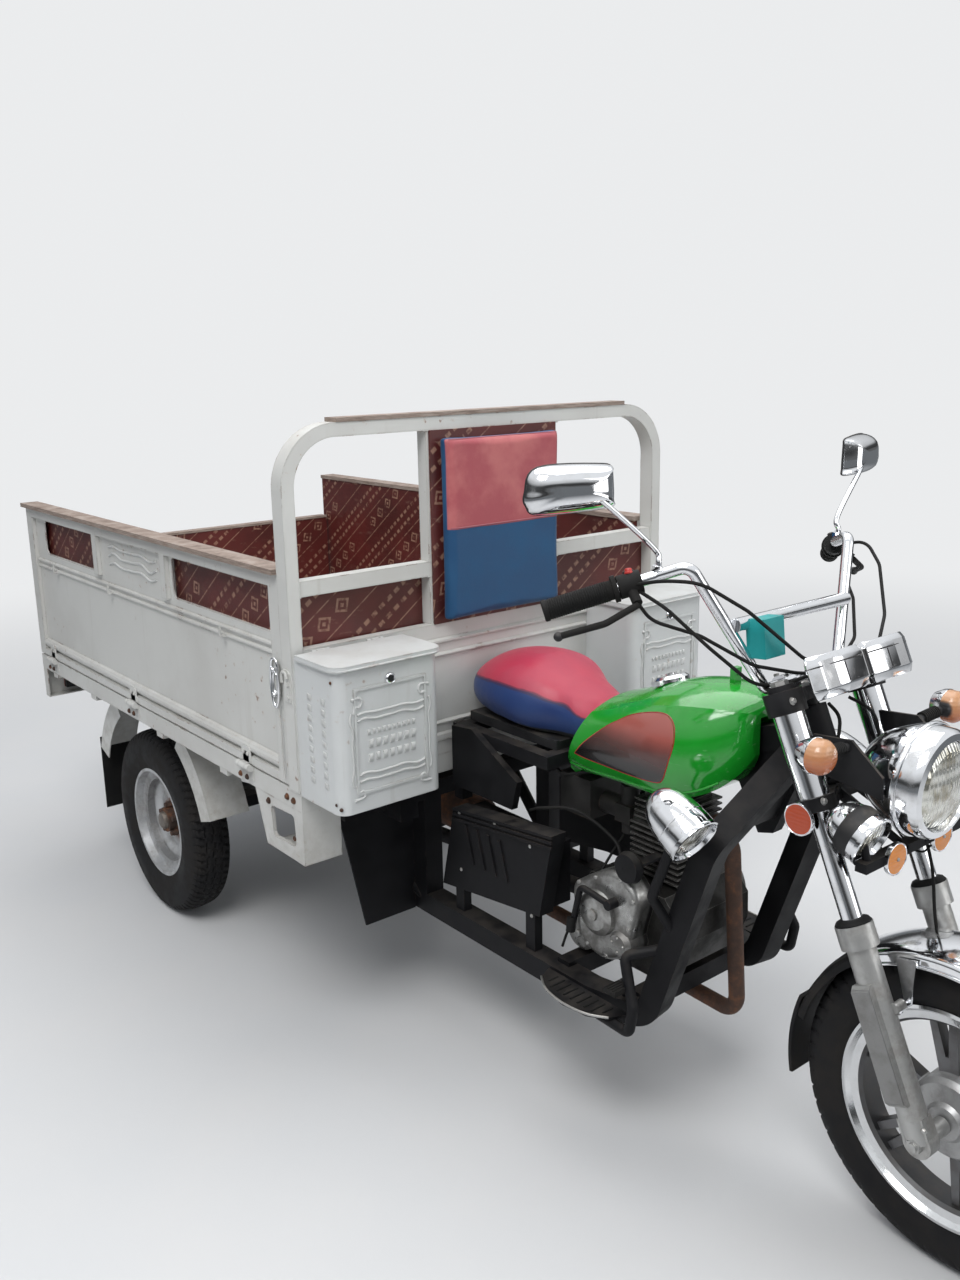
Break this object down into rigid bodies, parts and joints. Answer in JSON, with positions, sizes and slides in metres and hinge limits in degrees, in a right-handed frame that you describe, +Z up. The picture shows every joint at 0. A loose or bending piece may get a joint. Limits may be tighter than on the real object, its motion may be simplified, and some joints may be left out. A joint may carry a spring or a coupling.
{
  "type": "cargo motor tricycle",
  "caption": "Three wheeled motor cargo carrier with a motorcycle front end, an open engine, a fuel tank and seat, and a drop gate load bed behind a padded hoop.",
  "frame": {"origin": "middle of the length and width, on the ground", "axes": "+X forward, +Y to the left, +Z up"},
  "size_m": [3.1978, 1.156, 1.465],
  "materials": {
    "black_frame": "semi-gloss",
    "white_paint": "semi-gloss",
    "green_paint": "gloss",
    "chrome": "polished",
    "cast_alloy": "cast",
    "silver_wheel": "satin",
    "rusty_iron": "rusty",
    "spring_steel": "dull",
    "tyre": "matt",
    "rubber": "matt",
    "black_plastic": "matt",
    "teal_plastic": "gloss",
    "amber_plastic": "gloss",
    "red_plastic": "gloss",
    "clear_glass": "clear",
    "plywood": "film faced",
    "seat_cover": "satin",
    "pad_cover": "satin"
  },
  "bodies": {
    "chassis": {"backrest_pad": "pad_cover", "bed_chassis": "black_frame", "bed_floor": "white_paint", "carburettor": "cast_alloy", "corner_brackets": "white_paint", "drive_shaft": "black_frame", "engine_case": "cast_alloy", "engine_cylinder": "cast_alloy", "engine_guards": "black_frame", "exhaust": "rusty_iron", "foot_controls": "black_frame", "fuel_cap": "chrome", "fuel_tank": "green_paint", "guard_lamps": "chrome", "guard_lenses": "clear_glass", "headboard": "white_paint", "hoop": "white_paint", "hoop_boards": "plywood", "leaf_springs": "spring_steel", "main_frame": "black_frame", "mud_flaps": "rubber", "mudguards": "white_paint", "rear_axle": "black_frame", "rider_seat": "seat_cover", "seat_base": "black_plastic", "side_boxes": "black_frame", "tail_lamps": "red_plastic", "toolbox_left": "white_paint", "toolbox_right": "white_paint"},
    "steering": {"fork_tubes": "chrome", "fork_sliders": "cast_alloy", "fork_yokes": "black_frame", "handlebar": "chrome", "grips_and_levers": "rubber", "mirrors": "chrome", "instrument_cluster": "chrome", "headlamp": "chrome", "spot_lamps": "chrome", "front_lenses": "clear_glass", "signal_lamps": "amber_plastic", "front_fender": "chrome", "fender_flap": "rubber", "fuse_box": "teal_plastic", "control_cables": "rubber"},
    "front_wheel": {"front_tyre": "tyre", "front_rim": "silver_wheel"},
    "rear_wheel_right": {"rear_tyre_right": "tyre", "rear_rim_right": "silver_wheel", "rear_hub_right": "rusty_iron"},
    "rear_wheel_left": {"rear_tyre_left": "tyre", "rear_rim_left": "silver_wheel", "rear_hub_left": "rusty_iron"},
    "gate_right": {"gate_right_panel": "white_paint", "gate_right_boards": "plywood"},
    "gate_left": {"gate_left_panel": "white_paint", "gate_left_boards": "plywood"},
    "tailgate": {"tailgate_panel": "white_paint", "tailgate_boards": "plywood"},
    "lid_right": {"toolbox_lid_right": "white_paint"},
    "lid_left": {"toolbox_lid_left": "white_paint"}
  },
  "joints": [
    {"name": "steering_turn", "type": "hinge", "parent": "chassis", "child": "steering", "pos_m": [0.98663, 0, 0.9], "axis": [-0.4099, 0, 0.9121], "range_deg": [-35, 35]},
    {"name": "front_wheel_roll", "type": "hinge", "parent": "steering", "child": "front_wheel", "pos_m": [1.30193, 0, 0.296], "axis": [0, 1, 0], "continuous": true},
    {"name": "rear_wheel_right_roll", "type": "hinge", "parent": "chassis", "child": "rear_wheel_right", "pos_m": [-0.91287, -0.445, 0.272], "axis": [0, 1, 0], "continuous": true},
    {"name": "rear_wheel_left_roll", "type": "hinge", "parent": "chassis", "child": "rear_wheel_left", "pos_m": [-0.91287, 0.445, 0.272], "axis": [0, 1, 0], "continuous": true},
    {"name": "gate_right_drop", "type": "hinge", "parent": "chassis", "child": "gate_right", "pos_m": [-0.83387, -0.57, 0.668], "axis": [1, 0, 0], "range_deg": [0, 170]},
    {"name": "gate_left_drop", "type": "hinge", "parent": "chassis", "child": "gate_left", "pos_m": [-0.83387, 0.57, 0.668], "axis": [-1, 0, 0], "range_deg": [0, 170]},
    {"name": "tailgate_drop", "type": "hinge", "parent": "chassis", "child": "tailgate", "pos_m": [-1.59087, 0, 0.668], "axis": [0, -1, 0], "range_deg": [0, 170]},
    {"name": "lid_right_lift", "type": "hinge", "parent": "chassis", "child": "lid_right", "pos_m": [0.07413, -0.4285, 0.979], "axis": [0, -1, 0], "range_deg": [0, 80]},
    {"name": "lid_left_lift", "type": "hinge", "parent": "chassis", "child": "lid_left", "pos_m": [0.07413, 0.4285, 0.979], "axis": [0, -1, 0], "range_deg": [0, 80]}
  ]
}
